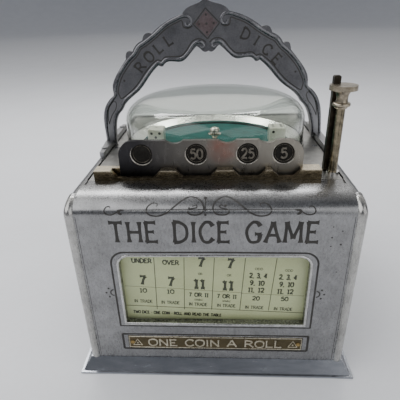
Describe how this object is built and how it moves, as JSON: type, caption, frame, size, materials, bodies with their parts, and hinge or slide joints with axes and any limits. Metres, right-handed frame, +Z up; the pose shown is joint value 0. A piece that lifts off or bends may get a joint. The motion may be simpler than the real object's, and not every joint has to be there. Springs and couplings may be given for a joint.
{
  "type": "countertop coin dice game",
  "caption": "Countertop coin dice game: aluminium cabinet, coin slots, side plunger that jolts a felt table of dice under a glass dome, arched handle.",
  "frame": {"origin": "on the table, under the middle of the flared base", "axes": "+X to the player's right, +Y to the back, +Z up"},
  "size_m": [0.233, 0.262, 0.2915],
  "materials": {
    "buffed_aluminium": "buffed cast aluminium, satin with fine polishing lines",
    "dark_aluminium": "cast aluminium, dulled, dark in the recesses",
    "polished_nickel": "nickel plate, polished",
    "tarnished_brass": "nickel-plated brass worn through and tarnished",
    "brass": "aged brass",
    "black_iron": "blackened iron, polished, with worn brown patches",
    "steel": "plain steel",
    "spring_steel": "drawn spring wire",
    "window_glass": "clear flat glass",
    "dome_glass": "clear blown glass, slightly wavy",
    "card": "printed card, yellowed",
    "rubber": "thin black rubber",
    "felt": "green baize",
    "ivory": "ivory-coloured celluloid, polished",
    "wood": "planed hardwood"
  },
  "bodies": {
    "cabinet": {"base_skirt": "buffed_aluminium", "base_plate": "steel", "base_screws": "steel", "front_casting": "buffed_aluminium", "left_side_casting": "buffed_aluminium", "right_side_casting": "buffed_aluminium", "rear_frame": "buffed_aluminium", "hinge_frame_leaves": "steel", "hinge_pins": "steel", "card_glass": "window_glass", "pay_card": "card", "card_backing": "steel", "backing_clips": "steel", "clip_screws": "steel", "name_plate": "brass", "name_plate_pins": "brass", "deck_plate": "buffed_aluminium", "deck_screws": "steel", "coin_bar": "tarnished_brass", "coin_head": "black_iron", "plunger_bushing": "polished_nickel", "plunger_guide": "steel", "guide_post": "tarnished_brass", "plunger_spring": "spring_steel", "mechanism_bridge": "steel", "stem_bushing": "brass", "rocker_bracket_inner": "steel", "rocker_bracket_outer": "steel", "table_spring": "spring_steel", "dish_ring": "buffed_aluminium", "dome_gasket": "rubber", "glass_dome": "dome_glass", "dome_bezel": "polished_nickel", "handle_arch": "dark_aluminium", "arch_screws": "steel", "shutter_guides": "steel", "coin_chute": "steel", "cash_tray": "steel", "tray_runners": "wood"},
    "plunger": {"plunger_rod": "tarnished_brass", "plunger_cap": "tarnished_brass", "plunger_collar": "steel"},
    "rocker": {"rocker_shaft": "steel", "plunger_arm": "steel", "lift_arm": "steel", "shutter_arm": "steel"},
    "table": {"table_stem": "steel", "stem_collar": "steel", "table_disc": "steel", "table_felt": "felt", "table_finial": "brass"},
    "shutter": {"coin_shutter": "steel"},
    "door": {"rear_door": "buffed_aluminium", "hinge_door_leaves": "steel", "lock_barrel": "brass"},
    "lock": {"lock_plug": "brass", "lock_cam": "steel"},
    "die_left": {"die_left": "ivory"},
    "die_right": {"die_right": "ivory"}
  },
  "joints": [
    {"name": "plunger_press", "type": "slide", "parent": "cabinet", "child": "plunger", "axis": [0, 0, -1], "range_m": [0, 0.018], "stiffness_N_per_m": 300, "springref_m": -0.012, "deforming": ["plunger_spring"]},
    {"name": "rocker_turn", "type": "hinge", "parent": "cabinet", "child": "rocker", "pos_m": [0, -0.004, 0.096], "axis": [1, 0, 0], "range_deg": [0, 15.2]},
    {"name": "table_lift", "type": "slide", "parent": "cabinet", "child": "table", "axis": [0, 0, 1], "range_m": [0, 0.00529], "deforming": ["table_spring"]},
    {"name": "shutter_slide", "type": "slide", "parent": "cabinet", "child": "shutter", "axis": [0, -1, 0], "range_m": [0, 0.00899]},
    {"name": "door_swing", "type": "hinge", "parent": "cabinet", "child": "door", "pos_m": [-0.0726, 0.1245, 0.08], "axis": [0, 0, 1], "range_deg": [0, 110]},
    {"name": "lock_turn", "type": "hinge", "parent": "door", "child": "lock", "pos_m": [0.055, 0.116, 0.08], "axis": [0, 1, 0], "range_deg": [0, 90]},
    {"name": "die_left_hop", "type": "slide", "parent": "table", "child": "die_left", "axis": [0, 0, 1], "range_m": [0, 0.008]},
    {"name": "die_right_hop", "type": "slide", "parent": "table", "child": "die_right", "axis": [0, 0, 1], "range_m": [0, 0.008]}
  ],
  "couplings": [
    {"joint": "rocker_turn", "follows": "plunger_press", "rad_per_m": 14.738},
    {"joint": "table_lift", "follows": "plunger_press", "ratio": 0.29389},
    {"joint": "shutter_slide", "follows": "plunger_press", "ratio": 0.49963}
  ]
}
